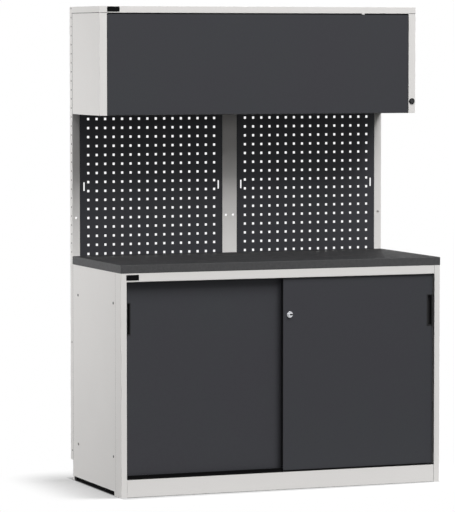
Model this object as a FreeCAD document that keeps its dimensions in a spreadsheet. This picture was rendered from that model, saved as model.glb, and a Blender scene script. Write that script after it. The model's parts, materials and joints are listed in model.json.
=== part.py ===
"""Workbench cabinet: sliding-door base, worktop, perforated back panels and a lift-up upper cabinet.

Millimetres, +Z up. X runs along the bench and Y from front to back. The origin lies on the floor,
in the middle of the footprint.
"""
import FreeCAD, Part
import os
import re
import Sketcher

# Driving dimensions. Each becomes one cell of the sheet, with its name as the alias.
SIZES = {
    # Whole bench
    "overall_width": 1424,
    "overall_height": 2000,
    "base_depth": 610,
    "base_height": 920,
    "case_sheet": 1.5,
    "bend_radius": 2,
    # Worktop
    "worktop_thickness": 30,
    "worktop_chamfer": 1.5,
    # Front frame of the base
    "post_width": 26,
    "post_depth": 68,
    "rail_height": 40,
    "rail_lip": 7,
    "plinth_height": 76,
    "plinth_foot": 20,
    # Sides, floor and back of the base
    "side_flange": 25,
    "side_hole_bore": 8,
    "side_hole_setback": 95,
    "side_hole_reach": 445,
    "side_hole_low": 160,
    "side_hole_rise": 630,
    "floor_slot_height": 16,
    "floor_slot_inset": 17,
    "floor_fold": 25,
    "rear_rail_depth": 25,
    # Shelf
    "shelf_sheet": 1.2,
    "shelf_level": 480,
    "shelf_fold": 25,
    "shelf_side_gap": 1.5,
    "shelf_front_gap": 12,
    "shelf_back_gap": 4,
    "clip_reach": 14,
    "clip_height": 22,
    "clip_width": 24,
    "clip_inset": 60,
    # Sliding doors
    "door_sheet": 1.2,
    "door_depth": 20,
    "door_lip": 15,
    "front_door_recess": 10,
    "rear_door_recess": 39,
    "right_door_edge": 3,
    "left_door_edge": 57,
    "door_end_gap": 3,
    "door_head_lap": 9,
    "right_door_gap": 3,
    "left_door_gap": 9.5,
    "door_channel": 20,
    # Door tracks, shoes, guides and buffers
    "track_base": 1.5,
    "track_margin": 2,
    "rib_width": 3,
    "rib_height": 10.5,
    "shoe_length": 40,
    "shoe_width": 15,
    "shoe_height": 12,
    "shoe_inset": 80,
    "slide_clearance": 0.3,
    "fin_thickness": 1.5,
    "fin_height": 18,
    "channel_width": 13,
    "guide_length": 30,
    "guide_height": 18,
    "buffer_height": 40,
    "buffer_width": 12,
    "buffer_level": 300,
    "buffer_clearance": 0.3,
    # Door grips
    "grip_width": 25,
    "grip_height": 134,
    "grip_flange": 1,
    "grip_rim": 3,
    "grip_wall": 1.5,
    "grip_depth": 16,
    "grip_inset": 1.5,
    "grip_level": 727,
    # Push lock in the right door
    "lock_setback": 30,
    "lock_collar": 26,
    "lock_collar_proud": 1.5,
    "lock_case": 29,
    "lock_case_rear": 17,
    "lock_plunger": 19,
    "lock_plunger_length": 19.5,
    "lock_travel": 8,
    "lock_bolt": 9,
    "lock_bolt_shy": 0.3,
    "strike_side": 20,
    "strike_clearance": 0.6,
    "strike_proud": 5,
    "turning_clearance": 0.1,
    "key_slot_width": 2.5,
    "key_slot_length": 9,
    "key_slot_depth": 3,
    "push_slot_width": 3.4,
    "push_slot_length": 11,
    "push_slot_shift": 2.5,
    # Uprights
    "upright_width": 33,
    "upright_depth": 30,
    "upright_sheet": 2,
    "upright_lip": 10,
    "upright_foot": 85,
    "upright_slot_width": 9,
    "upright_slot_height": 6,
    "upright_slot_setback": 12,
    "upright_slot_start": 47,
    "upright_eye_bore": 10,
    "upright_eye_rise": 192,
    "upright_foot_low": 125,
    "upright_foot_high": 585,
    # Perforated panels
    "panel_lap": 16,
    "panel_sheet": 1.2,
    "panel_fold": 25,
    "panel_clearance": 0.25,
    "hole_pitch": 38,
    "hole_side": 10,
    "hole_margin": 20,
    "panel_slot_width": 6,
    "panel_slot_height": 36,
    # Upper cabinet
    "upper_height": 450,
    "upper_depth": 355,
    "upper_post_width": 33,
    "upper_return": 23,
    "cap_height": 27,
    "cap_round": 0.8,
    "tab_width": 13,
    "tab_drop": 5,
    "tab_place": 469,
    "tray_fold": 20,
    "tray_gap": 0.5,
    # Lift-up door
    "flap_recess": 2,
    "flap_depth": 20,
    "flap_lip": 15,
    "flap_side_gap": 1,
    "flap_top_gap": 3,
    "flap_bottom_gap": 2,
    "flap_buffer_width": 24,
    "flap_buffer_height": 10,
    "flap_buffer_place": 400,
    # Hinge pins of the lift-up door
    "hinge_setback": 5,
    "hinge_drop": 9,
    "hinge_pin": 6,
    "hinge_reach": 8,
    "hinge_tail": 6,
    # Slotted stays of the lift-up door
    "stay_radius": 172,
    "stay_lead": 45,
    "stay_swing": 90,
    "stay_width": 14,
    "stay_thickness": 2,
    "stay_pin": 6,
    "stay_head": 10,
    "stay_inset": 10,
    "stay_washer": 1.5,
    "stay_play": 2,
    "stay_ear": 2,
    "stay_ear_width": 20,
    # Cam lock in the right post
    "cam_lock_rise": 51,
    "cam_bezel": 25,
    "cam_bezel_proud": 3,
    "cam_barrel": 17,
    "cam_plug": 14,
    "cam_plug_proud": 0.5,
    "cam_gap": 2,
    "cam_thickness": 2,
    "cam_width": 12,
    "cam_length": 34,
}

# Places worked out from the driving dimensions.
PLACES = {
    "half_width": "overall_width / 2",
    "front": "-(base_depth + upright_depth) / 2",
    "back": "front + base_depth",
    "opening_half": "half_width - post_width",
    "rail_bottom": "base_height - rail_height",
    "frame_rear": "front + post_depth + case_sheet",
    "back_inside": "back - case_sheet",
    "side_inside": "half_width - case_sheet",
    "flange_end": "half_width - side_flange",
    # Sliding doors
    "door_top": "rail_bottom + door_head_lap",
    "channel_level": "plinth_height + door_channel",
    "front_door_face": "front + front_door_recess",
    "rear_door_face": "front + rear_door_recess",
    "front_door_middle": "front_door_face + door_depth / 2",
    "rear_door_middle": "rear_door_face + door_depth / 2",
    "right_door_width": "opening_half - door_end_gap - right_door_edge",
    "left_door_width": "opening_half - door_end_gap + left_door_edge",
    "left_door_start": "-opening_half + door_end_gap",
    "rib_top": "plinth_height + track_base + rib_height",
    "track_top": "base_height - case_sheet",
    "fin_bottom": "track_top - track_base - fin_height",
    "guide_width": "channel_width - 2 * slide_clearance",
    "lock_place": "right_door_edge + lock_setback",
    "grip_low": "grip_level - grip_height / 2",
    # Uprights and panels
    "panel_width": "half_width - 2 * upright_width - 2 * panel_clearance",
    "panel_height": "upper_level - base_height + panel_lap",
    "panel_start": "upright_width + panel_clearance",
    "hole_columns": "floor((panel_width - 2 * hole_margin) / hole_pitch) + 1",
    "hole_rows": "floor((panel_height - 2 * hole_margin) / hole_pitch) + 1",
    "hole_span_across": "(hole_columns - 1) * hole_pitch",
    "hole_span_up": "(hole_rows - 1) * hole_pitch",
    "first_hole_across": "(panel_width - hole_span_across) / 2",
    "first_hole_up": "(panel_height - hole_span_up) / 2",
    "first_slot": "base_height + upright_slot_start",
    "slot_count": "floor((overall_height - upright_slot_height - first_slot) / hole_pitch) + 1",
    "eye_level": "base_height + upright_eye_rise",
    # Upper cabinet
    "upper_level": "overall_height - upper_height",
    "upper_front": "back - upper_depth",
    "cap_level": "overall_height - cap_height",
    "upper_opening_half": "half_width - upper_post_width",
    "tray_front": "upper_front + upper_return + tray_gap",
    "flap_face": "upper_front + flap_recess",
    "flap_rear": "flap_face + flap_depth",
    "flap_half": "upper_opening_half - flap_side_gap",
    "flap_bottom": "upper_level + flap_bottom_gap",
    "flap_top": "cap_level - flap_top_gap",
    "hinge_y": "flap_face + hinge_setback",
    "hinge_z": "flap_top - hinge_drop",
    # Stays: the stud on the door and the fixed post lie on one circle about the hinge
    "stud_setback": "flap_depth - hinge_setback + stay_ear + stay_width / 2 + stay_play",
    "stud_drop": "sqrt(stay_radius ^ 2 - stud_setback ^ 2)",
    "stud_y": "hinge_y + stud_setback",
    "stud_z": "hinge_z - stud_drop",
    "stay_post_y": "hinge_y + stud_setback * cos(stay_lead) + stud_drop * sin(stay_lead)",
    "stay_post_z": "hinge_z - stud_drop * cos(stay_lead) + stud_setback * sin(stay_lead)",
    "stay_slope": "asin(stud_setback / stay_radius) + stay_lead * 1 deg / 2",
    "stay_short": "2 * stay_radius * sin(stay_lead / 2)",
    "stay_long": "2 * stay_radius * sin((stay_lead + stay_swing) / 2)",
    "stay_slot_width": "stay_pin + 2 * turning_clearance",
    "stay_outside": "flap_half - stay_inset",
    "stay_inside": "stay_outside - stay_thickness",
    # Cam lock
    "cam_x": "half_width - upper_post_width / 2",
    "cam_z": "upper_level + cam_lock_rise",
    "cam_front": "tray_front + cam_gap",
}

doc = FreeCAD.newDocument("workbench_cabinet")
sheet = doc.addObject("Spreadsheet::Sheet", "Sizes")
for row, (alias, value) in enumerate(SIZES.items(), start=1):
    sheet.set(f"A{row}", alias)
    sheet.set(f"B{row}", str(value))
    sheet.setAlias(f"B{row}", alias)
doc.recompute()

DIRECTIONS = {"X": FreeCAD.Vector(1, 0, 0), "Y": FreeCAD.Vector(0, 1, 0), "Z": FreeCAD.Vector(0, 0, 1)}
PARTS = []


def bound(text):
    """Write named sizes and places as an expression on the sheet's cells."""
    def spelled(match):
        word = match[0]
        if word in SIZES:
            return f"Sizes.{word}"
        return f"({bound(PLACES[word])})" if word in PLACES else word
    return re.sub(r"[a-z]\w*", spelled, str(text))


def number(text):
    """The value of an expression, as a plain number."""
    value = sheet.evalExpression(bound(text))
    return float(getattr(value, "Value", value))


def bind(item, **expressions):
    """Tie properties of an object to expressions."""
    for name, text in expressions.items():
        item.setExpression(name, bound(text))


def place(item, x=0, y=0, z=0):
    """Tie an object's position to expressions."""
    for axis, text in zip("xyz", (x, y, z)):
        item.setExpression(f"Placement.Base.{axis}", bound(text))


def keep(item, label):
    """List an object as a sub-part under its own label."""
    item.Label = label
    PARTS.append(item)
    return item


# Sheet metal and moulded pieces: bodies with sketches

def new_body(name, x=0, y=0, z=0):
    body = doc.addObject("PartDesign::Body", name)
    place(body, x, y, z)
    return body


def sketch_on(body, plane, offset=0):
    """An empty sketch on an origin plane, moved along +X, +Y or +Z by offset."""
    sketch = body.newObject("Sketcher::SketchObject", f"{body.Name}_sketch")
    support = next(item for item in body.Origin.OriginFeatures if item.Role == f"{plane}_Plane")
    sketch.AttachmentSupport = [(support, "")]
    sketch.MapMode = "FlatFace"
    away = "-1" if plane == "XZ" else "1"
    sketch.setExpression("AttachmentOffset.Base.z", bound(f"{away} * ({offset})"))
    return sketch


def outline(sketch, points):
    """A closed outline through points whose coordinates are expressions."""
    corners = [FreeCAD.Vector(number(x), number(y), 0) for x, y in points]
    first = sketch.GeometryCount
    for start, end in zip(corners, corners[1:] + corners[:1]):
        sketch.addGeometry(Part.LineSegment(start, end), False)
    for index, (x, y) in enumerate(points):
        line = first + index
        following = first + (index + 1) % len(points)
        sketch.addConstraint(Sketcher.Constraint("Coincident", line, 2, following, 1))
        for kind, text in (("DistanceX", x), ("DistanceY", y)):
            constraint = sketch.addConstraint(Sketcher.Constraint(kind, line, 1, number(text)))
            sketch.setExpression(f"Constraints[{constraint}]", bound(text))


def rectangle(sketch, left, low, right, high):
    outline(sketch, [(left, low), (right, low), (right, high), (left, high)])


def circle(sketch, x, y, diameter):
    """A circle whose centre and diameter are expressions."""
    centre = FreeCAD.Vector(number(x), number(y), 0)
    ring = sketch.addGeometry(Part.Circle(centre, FreeCAD.Vector(0, 0, 1), number(diameter) / 2), False)
    settings = [(Sketcher.Constraint("DistanceX", ring, 3, centre.x), x),
                (Sketcher.Constraint("DistanceY", ring, 3, centre.y), y),
                (Sketcher.Constraint("Diameter", ring, number(diameter)), diameter)]
    for constraint, text in settings:
        index = sketch.addConstraint(constraint)
        sketch.setExpression(f"Constraints[{index}]", bound(text))


def faces_along_y(sketch):
    return sketch.AttachmentSupport[0][0].Role == "XZ_Plane"


def pad(body, sketch, length):
    """Add the sketch's area, from its plane towards +X, +Y or +Z."""
    feature = body.newObject("PartDesign::Pad", f"{body.Name}_pad")
    feature.Profile = sketch
    feature.Reversed = faces_along_y(sketch)
    bind(feature, Length=length)
    return feature


def pocket(body, sketch, length):
    """Cut the sketch's area, from its plane towards +X, +Y or +Z."""
    feature = body.newObject("PartDesign::Pocket", f"{body.Name}_pocket")
    feature.Profile = sketch
    feature.Reversed = not faces_along_y(sketch)
    bind(feature, Length=length)
    return feature


def repeat(body, feature, axis, length, count):
    """Repeat a feature along one of the body's own axes."""
    pattern = body.newObject("PartDesign::LinearPattern", f"{body.Name}_pattern")
    pattern.Originals = [feature]
    pattern.Direction = (axis_of(body, axis), [""])
    bind(pattern, Length=length, Occurrences=count)
    body.Tip = pattern
    return pattern


def axis_of(body, axis):
    return next(item for item in body.Origin.OriginFeatures if item.Role == f"{axis}_Axis")


def ease_edges(body, kind, wanted):
    """A fillet or chamfer on the edges of the body's last feature that the test accepts."""
    doc.recompute()
    base = body.Tip
    names = []
    for index, edge in enumerate(base.Shape.Edges, start=1):
        if wanted(edge.BoundBox):
            names.append(f"Edge{index}")
    feature = body.newObject(f"PartDesign::{kind}", f"{body.Name}_edges")
    feature.Base = (base, names)
    return feature


def near(value, text):
    return abs(value - number(text)) < 1e-4


def profile(name, plane, points, start, length, corners=()):
    """A bent sheet: an outline padded along one axis, with the named outer corners rounded."""
    body = new_body(name)
    sketch = sketch_on(body, plane, start)
    outline(sketch, points)
    pad(body, sketch, length)
    across, up = plane

    def on_corner(box):
        for x, y in corners:
            flat = getattr(box, f"{across}Length") < 1e-6 and getattr(box, f"{up}Length") < 1e-6
            if flat and near(getattr(box, f"{across}Min"), x) and near(getattr(box, f"{up}Min"), y):
                return True
        return False

    if corners:
        bind(ease_edges(body, "Fillet", on_corner), Radius="bend_radius")
    return body


def pan(name, x, y, width, low, high, wall_low, depth, lip, thickness):
    """A door: a skin with side walls folded back and lips folded in behind them."""
    body = new_body(name, x, y)
    skin = sketch_on(body, "XZ")
    rectangle(skin, 0, low, width, high)
    pad(body, skin, thickness)
    walls = sketch_on(body, "XZ", thickness)
    rectangle(walls, 0, wall_low, width, high)
    rectangle(walls, thickness, f"{wall_low} + {thickness}", f"{width} - {thickness}",
              f"{high} - {thickness}")
    pad(body, walls, f"{depth} - 2 * {thickness}")
    lips = sketch_on(body, "XZ", f"{depth} - {thickness}")
    rectangle(lips, 0, wall_low, width, high)
    rectangle(lips, lip, f"{wall_low} + {lip}", f"{width} - {lip}", f"{high} - {lip}")
    pad(body, lips, thickness)
    return body


# Blocks, rods and groups

def block(name, x, y, z, length, width, height):
    item = doc.addObject("Part::Box", name)
    bind(item, Length=length, Width=width, Height=height)
    place(item, x, y, z)
    return item


def cube(name, x, y, z, side, length):
    """A square bar about a point's X and Z that runs along +Y."""
    return block(name, f"{x} - ({side}) / 2", y, f"{z} - ({side}) / 2", side, length, side)


def rod(name, axis, x, y, z, diameter, length):
    """A cylinder that starts at a point and runs along +X, +Y or +Z."""
    item = doc.addObject("Part::Cylinder", name)
    turn = FreeCAD.Rotation(DIRECTIONS["Z"], DIRECTIONS[axis])
    item.Placement = FreeCAD.Placement(FreeCAD.Vector(), turn)
    bind(item, Radius=f"({diameter}) / 2", Height=length)
    place(item, x, y, z)
    return item


def hex_bar(name, x, y, z, diameter, length):
    """A six-sided bar that starts at a point and runs along +X; diameter is over its corners."""
    item = doc.addObject("Part::Prism", name)
    item.Placement = FreeCAD.Placement(FreeCAD.Vector(), FreeCAD.Rotation(DIRECTIONS["Z"], DIRECTIONS["X"]))
    item.Polygon = 6
    bind(item, Circumradius=f"({diameter}) / 2", Height=length)
    place(item, x, y, z)
    return item


def joined(name, pieces):
    item = doc.addObject("Part::MultiFuse", name)
    item.Shapes = pieces
    return item


def without(name, base, tool):
    item = doc.addObject("Part::Cut", name)
    item.Base = base
    item.Tool = tool
    return item


def mirrored(name, source):
    """The same piece on the other side of the bench's middle plane."""
    item = doc.addObject("Part::Mirroring", name)
    item.Source = source
    item.Normal = DIRECTIONS["X"]
    return item


def group(name, pieces):
    """Separate identical pieces that share one name."""
    item = doc.addObject("Part::Compound", name)
    item.Links = pieces
    return item


# Base cabinet

def base_posts():
    """U-shaped front posts, open to the back."""
    outside, inside = "-half_width", "-opening_half"
    end = "front + post_depth"
    points = [(outside, "front"), (inside, "front"), (inside, end), (f"{inside} - case_sheet", end),
              (f"{inside} - case_sheet", "front + case_sheet"), ("-side_inside", "front + case_sheet"),
              ("-side_inside", end), (outside, end)]
    post = profile("base_post_left", "XY", points, 0, "base_height", [points[0], points[1]])
    keep(post, "base_post_left")
    keep(mirrored("base_post_right", post), "base_post_right")


def base_sides():
    """Side sheets with a flange behind the post, a rear flange, four holes and a slot at the floor."""
    start = "front + post_depth"
    points = [("-half_width", start), ("-opening_half", start), ("-opening_half", "frame_rear"),
              ("-side_inside", "frame_rear"), ("-side_inside", "back_inside"), ("-flange_end", "back_inside"),
              ("-flange_end", "back"), ("-half_width", "back")]
    side = profile("base_side_left", "XY", points, 0, "base_height", [points[0]])
    cuts = sketch_on(side, "YZ", "-half_width")
    rectangle(cuts, f"{start} + floor_slot_inset", 0, "back - floor_slot_inset", "floor_slot_height")
    for setback in ("side_hole_setback", "side_hole_setback + side_hole_reach"):
        for level in ("side_hole_low", "side_hole_low + side_hole_rise"):
            circle(cuts, f"front + {setback}", level, "side_hole_bore")
    pocket(side, cuts, "case_sheet")
    keep(side, "base_side_left")
    keep(mirrored("base_side_right", side), "base_side_right")


def base_back():
    body = block("base_back", "-flange_end", "back_inside", "floor_slot_height", "2 * flange_end",
                 "case_sheet", "base_height - floor_slot_height")
    keep(body, "base_back")


def base_bottom():
    """Floor tray, folded down at the front and the back."""
    low, under = "plinth_height - floor_fold", "plinth_height - case_sheet"
    points = [("frame_rear", low), ("frame_rear + case_sheet", low), ("frame_rear + case_sheet", under),
              ("back_inside - case_sheet", under), ("back_inside - case_sheet", low), ("back_inside", low),
              ("back_inside", "plinth_height"), ("frame_rear", "plinth_height")]
    keep(profile("base_bottom", "YZ", points, "-side_inside", "2 * side_inside"), "base_bottom")


def base_plinth():
    """Front board with a foot fold and a top fold that carries the bottom track."""
    under = "plinth_height - case_sheet"
    points = [("front", 0), ("front + plinth_foot", 0), ("front + plinth_foot", "case_sheet"),
              ("front + case_sheet", "case_sheet"), ("front + case_sheet", under), ("frame_rear", under),
              ("frame_rear", "plinth_height"), ("front", "plinth_height")]
    body = profile("base_plinth", "YZ", points, "-opening_half", "2 * opening_half", [points[0], points[7]])
    keep(body, "base_plinth")


def base_rails():
    """Top front rail, with a small lip over the doors, and an angle along the back."""
    lip_top = "rail_bottom + case_sheet"
    points = [("front", "rail_bottom"), ("front + rail_lip", "rail_bottom"), ("front + rail_lip", lip_top),
              ("front + case_sheet", lip_top), ("front + case_sheet", "track_top"),
              ("frame_rear", "track_top"), ("frame_rear", "base_height"), ("front", "base_height")]
    body = profile("base_top_rail", "YZ", points, "-opening_half", "2 * opening_half", [points[0]])
    keep(body, "base_top_rail")
    inside = "back_inside - case_sheet"
    angle = [(inside, "rail_bottom"), ("back_inside", "rail_bottom"), ("back_inside", "base_height"),
             ("back_inside - rear_rail_depth", "base_height"), ("back_inside - rear_rail_depth", "track_top"),
             (inside, "track_top")]
    keep(profile("base_rear_rail", "YZ", angle, "-side_inside", "2 * side_inside"), "base_rear_rail")


def door_tracks():
    """Bottom track with a rib under each door, top track with a channel over each door."""
    base_top = "plinth_height + track_base"
    points = [("front_door_face - track_margin", "plinth_height"),
              ("rear_door_face + door_depth", "plinth_height"), ("rear_door_face + door_depth", base_top)]
    for middle in ("rear_door_middle", "front_door_middle"):
        points += [(f"{middle} + rib_width / 2", base_top), (f"{middle} + rib_width / 2", "rib_top"),
                   (f"{middle} - rib_width / 2", "rib_top"), (f"{middle} - rib_width / 2", base_top)]
    points.append((points[0][0], base_top))
    keep(profile("door_bottom_track", "YZ", points, "-opening_half", "2 * opening_half"), "door_bottom_track")

    web_under = "track_top - track_base"
    outer = "(channel_width / 2 + fin_thickness)"
    points = [(f"front_door_middle - {outer}", "track_top")]
    for middle in ("front_door_middle", "rear_door_middle"):
        near_side, far_side = f"{middle} - channel_width / 2", f"{middle} + channel_width / 2"
        points += [(f"{middle} - {outer}", "fin_bottom"), (near_side, "fin_bottom"), (near_side, web_under),
                   (far_side, web_under), (far_side, "fin_bottom"), (f"{middle} + {outer}", "fin_bottom")]
        if middle == "front_door_middle":
            points += [(f"{middle} + {outer}", web_under), (f"rear_door_middle - {outer}", web_under)]
    points.append((f"rear_door_middle + {outer}", "track_top"))
    keep(profile("door_top_track", "YZ", points, "-opening_half", "2 * opening_half"), "door_top_track")


def door_buffers():
    """Rubber blocks on the posts that stop each door at both ends of its run."""
    thick = "door_end_gap - buffer_clearance"
    pieces = []
    for side, x in (("left", "-opening_half"), ("right", f"opening_half - ({thick})")):
        for track in ("front", "rear"):
            y = f"{track}_door_middle - buffer_width / 2"
            pieces.append(block(f"buffer_{side}_{track}", x, y, "buffer_level", thick, "buffer_width",
                                "buffer_height"))
    keep(group("door_buffers", pieces), "door_buffers")


def shelf():
    """Shelf folded down all round, on four clips that are fixed to the sides."""
    half = "side_inside - shelf_side_gap"
    start, end = "frame_rear + shelf_front_gap", "back_inside - shelf_back_gap"
    body = new_body("shelf", z="shelf_level - shelf_fold")
    walls = sketch_on(body, "XY")
    rectangle(walls, f"-({half})", start, half, end)
    rectangle(walls, f"-({half}) + shelf_sheet", f"{start} + shelf_sheet", f"{half} - shelf_sheet",
              f"{end} - shelf_sheet")
    pad(body, walls, "shelf_fold - shelf_sheet")
    top = sketch_on(body, "XY", "shelf_fold - shelf_sheet")
    rectangle(top, f"-({half})", start, half, end)
    pad(body, top, "shelf_sheet")
    keep(body, "shelf")

    seat = "shelf_level - shelf_fold"
    pieces = []
    for end_name, y in (("front", f"{start} + clip_inset"), ("rear", f"{end} - clip_inset - clip_width")):
        points = [("side_inside", seat), ("side_inside - clip_reach", seat),
                  ("side_inside - clip_reach", f"{seat} - case_sheet"),
                  ("side_inside - case_sheet", f"{seat} - case_sheet"),
                  ("side_inside - case_sheet", f"{seat} - clip_height"),
                  ("side_inside", f"{seat} - clip_height")]
        clip = profile(f"clip_{end_name}", "XZ", points, y, "clip_width")
        pieces += [clip, mirrored(f"clip_{end_name}_left", clip)]
    keep(group("shelf_clips", pieces), "shelf_clips")


def worktop():
    """Solid board with eased edges."""
    body = new_body("worktop", "-half_width", "front", "base_height")
    top = sketch_on(body, "XY")
    rectangle(top, 0, 0, "overall_width", "base_depth")
    pad(body, top, "worktop_thickness")
    edges = ease_edges(body, "Chamfer", lambda box: near(box.ZMin, "worktop_thickness"))
    bind(edges, Size="worktop_chamfer")
    keep(body, "worktop")


# Sliding doors

def grip(name, door_face, x):
    """Moulded cup with a thin flange on the door's skin and a deep pocket for the fingers."""
    body = new_body(name, x, door_face, "grip_low")
    flange = sketch_on(body, "XZ", "-grip_flange")
    rectangle(flange, 0, 0, "grip_width", "grip_height")
    pad(body, flange, "grip_flange")
    cup = sketch_on(body, "XZ")
    rectangle(cup, "grip_rim", "grip_rim", "grip_width - grip_rim", "grip_height - grip_rim")
    pad(body, cup, "grip_depth")
    hollow = sketch_on(body, "XZ", "-grip_flange")
    inset = "grip_rim + grip_wall"
    rectangle(hollow, inset, inset, f"grip_width - ({inset})", f"grip_height - ({inset})")
    pocket(body, hollow, "grip_flange + grip_depth - grip_wall")
    return keep(body, name)


def grip_window(door, x):
    """The opening in a door's skin that takes the grip's cup."""
    window = sketch_on(door, "XZ")
    rectangle(window, f"{x} + grip_rim", "grip_low + grip_rim", f"{x} + grip_width - grip_rim",
              "grip_low + grip_height - grip_rim")
    pocket(door, window, "door_sheet")


def running_gear(side, track, start, width):
    """Nylon shoes that ride on the rib, and nylon guides in the top channel."""
    middle = f"{track}_door_middle"
    shoes, guides = [], []
    half = "shoe_width / 2"
    groove = "(rib_width / 2 + slide_clearance)"
    roof = "rib_top + slide_clearance"
    foot = "channel_level - shoe_height"
    points = [(f"{middle} - {half}", foot), (f"{middle} - {groove}", foot), (f"{middle} - {groove}", roof),
              (f"{middle} + {groove}", roof), (f"{middle} + {groove}", foot), (f"{middle} + {half}", foot),
              (f"{middle} + {half}", "channel_level"), (f"{middle} - {half}", "channel_level")]
    for end, x in (("a", f"{start} + shoe_inset"), ("b", f"{start} + {width} - shoe_inset - shoe_length")):
        shoes.append(profile(f"{side}_shoe_{end}", "YZ", points, x, "shoe_length"))
        guides.append(block(f"{side}_guide_{end}", f"{x} + (shoe_length - guide_length) / 2",
                            f"{middle} - (guide_width) / 2", "door_top", "guide_length", "guide_width",
                            "guide_height"))
    keep(group(f"{side}_shoes", shoes), f"{side}_shoes")
    keep(group(f"{side}_guides", guides), f"{side}_guides")


def left_door():
    """Rear door, with the strike plate of the lock."""
    door = pan("left_door", "left_door_start", "rear_door_face", "left_door_width",
               "plinth_height + left_door_gap", "door_top", "channel_level", "door_depth", "door_lip",
               "door_sheet")
    grip_window(door, "grip_inset")
    keep(door, "left_door")
    grip("left_grip", "rear_door_face", "left_door_start + grip_inset")
    running_gear("left", "rear", "left_door_start", "left_door_width")

    face = "rear_door_face - strike_proud"
    plate = cube("strike_plate", "lock_place", face, "grip_level", "strike_side", "strike_proud")
    catch = cube("strike_catch", "lock_place", face, "grip_level", "lock_bolt + 2 * strike_clearance",
                 "strike_proud")
    keep(without("lock_strike", plate, catch), "lock_strike")


def right_door():
    """Front door, with the push lock near its free edge."""
    door = pan("right_door", "right_door_edge", "front_door_face", "right_door_width",
               "plinth_height + right_door_gap", "door_top", "channel_level", "door_depth", "door_lip",
               "door_sheet")
    place_of_grip = "right_door_width - grip_inset - grip_width"
    grip_window(door, place_of_grip)
    lock_hole = sketch_on(door, "XZ")
    circle(lock_hole, "lock_setback", "grip_level", "lock_collar")
    pocket(door, lock_hole, "door_sheet")
    keep(door, "right_door")
    grip("right_grip", "front_door_face", f"right_door_edge + {place_of_grip}")
    running_gear("right", "front", "right_door_edge", "right_door_width")


def push_lock():
    """Collar and case fixed in the door; a plunger with a square bolt slides in them."""
    x, z, face = "lock_place", "grip_level", "front_door_face"
    collar_face, case_face = f"{face} - lock_collar_proud", f"{face} + door_sheet"
    collar = rod("lock_collar", "Y", x, collar_face, z, "lock_collar", "lock_collar_proud + door_sheet")
    case = cube("lock_case", x, case_face, z, "lock_case", "lock_case_rear - door_sheet")
    bore = rod("lock_bore", "Y", x, collar_face, z, "lock_plunger + 2 * turning_clearance",
               "lock_collar_proud + lock_case_rear")
    keep(without("push_lock_body", joined("lock_shell", [collar, case]), bore), "push_lock_body")

    nose = f"{collar_face} - lock_travel"
    bolt_start = f"{nose} + lock_plunger_length"
    bolt_end = f"{face} + door_depth - lock_bolt_shy"
    plunger = rod("lock_plunger", "Y", x, nose, z, "lock_plunger", "lock_plunger_length")
    bolt = cube("lock_bolt", x, bolt_start, z, "lock_bolt", f"{bolt_end} - ({bolt_start})")
    key_slot = block("lock_key_slot", f"{x} + push_slot_shift - push_slot_length / 2", nose,
                     f"{z} - push_slot_width / 2", "push_slot_length", "key_slot_depth", "push_slot_width")
    plunger = without("push_lock_plunger", joined("lock_plunger_bolt", [plunger, bolt]), key_slot)
    keep(plunger, "push_lock_plunger")


# Back frame

def channel_points(left, right):
    """U-shaped upright, open to the back."""
    rear, web = "back + upright_depth", "back + upright_sheet"
    inner_left, inner_right = f"{left} + upright_sheet", f"{right} - upright_sheet"
    return [(left, "back"), (right, "back"), (right, rear), (inner_right, rear), (inner_right, web),
            (inner_left, web), (inner_left, rear), (left, rear)]


def uprights():
    """End uprights with slots and a rear lip on the outer side, and a double-width centre upright."""
    tall = "overall_height - upright_foot"
    points = channel_points("-half_width", "-half_width + upright_width")
    inner, rear = points[-2]
    lip_end, lip_face = "-half_width + upright_lip", f"{rear} - upright_sheet"
    points[-2:-1] = [(inner, lip_face), (lip_end, lip_face), (lip_end, rear)]
    end = profile("upright_left", "XY", points, "upright_foot", tall)
    eye = sketch_on(end, "XZ", "back")
    circle(eye, "-half_width + upright_width / 2", "eye_level", "upright_eye_bore")
    pocket(end, eye, "upright_sheet")
    middle = "back + upright_slot_setback"
    for levels in (("upright_foot_low", "upright_foot_high"), ("first_slot",)):
        slots = sketch_on(end, "YZ", "-half_width")
        for level in levels:
            rectangle(slots, f"{middle} - upright_slot_width / 2", f"{level} - upright_slot_height / 2",
                      f"{middle} + upright_slot_width / 2", f"{level} + upright_slot_height / 2")
        slot_cut = pocket(end, slots, "upright_sheet")
    repeat(end, slot_cut, "Z", "(slot_count - 1) * hole_pitch", "slot_count")
    keep(end, "upright_left")
    keep(mirrored("upright_right", end), "upright_right")

    points = channel_points("-upright_width", "upright_width")
    centre = profile("upright_centre", "XY", points, "upright_foot", tall)
    eyes = sketch_on(centre, "XZ", "back")
    for x in ("-upright_width / 2", "upright_width / 2"):
        circle(eyes, x, "eye_level", "upright_eye_bore")
    pocket(centre, eyes, "upright_sheet")
    keep(centre, "upright_centre")


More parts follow.
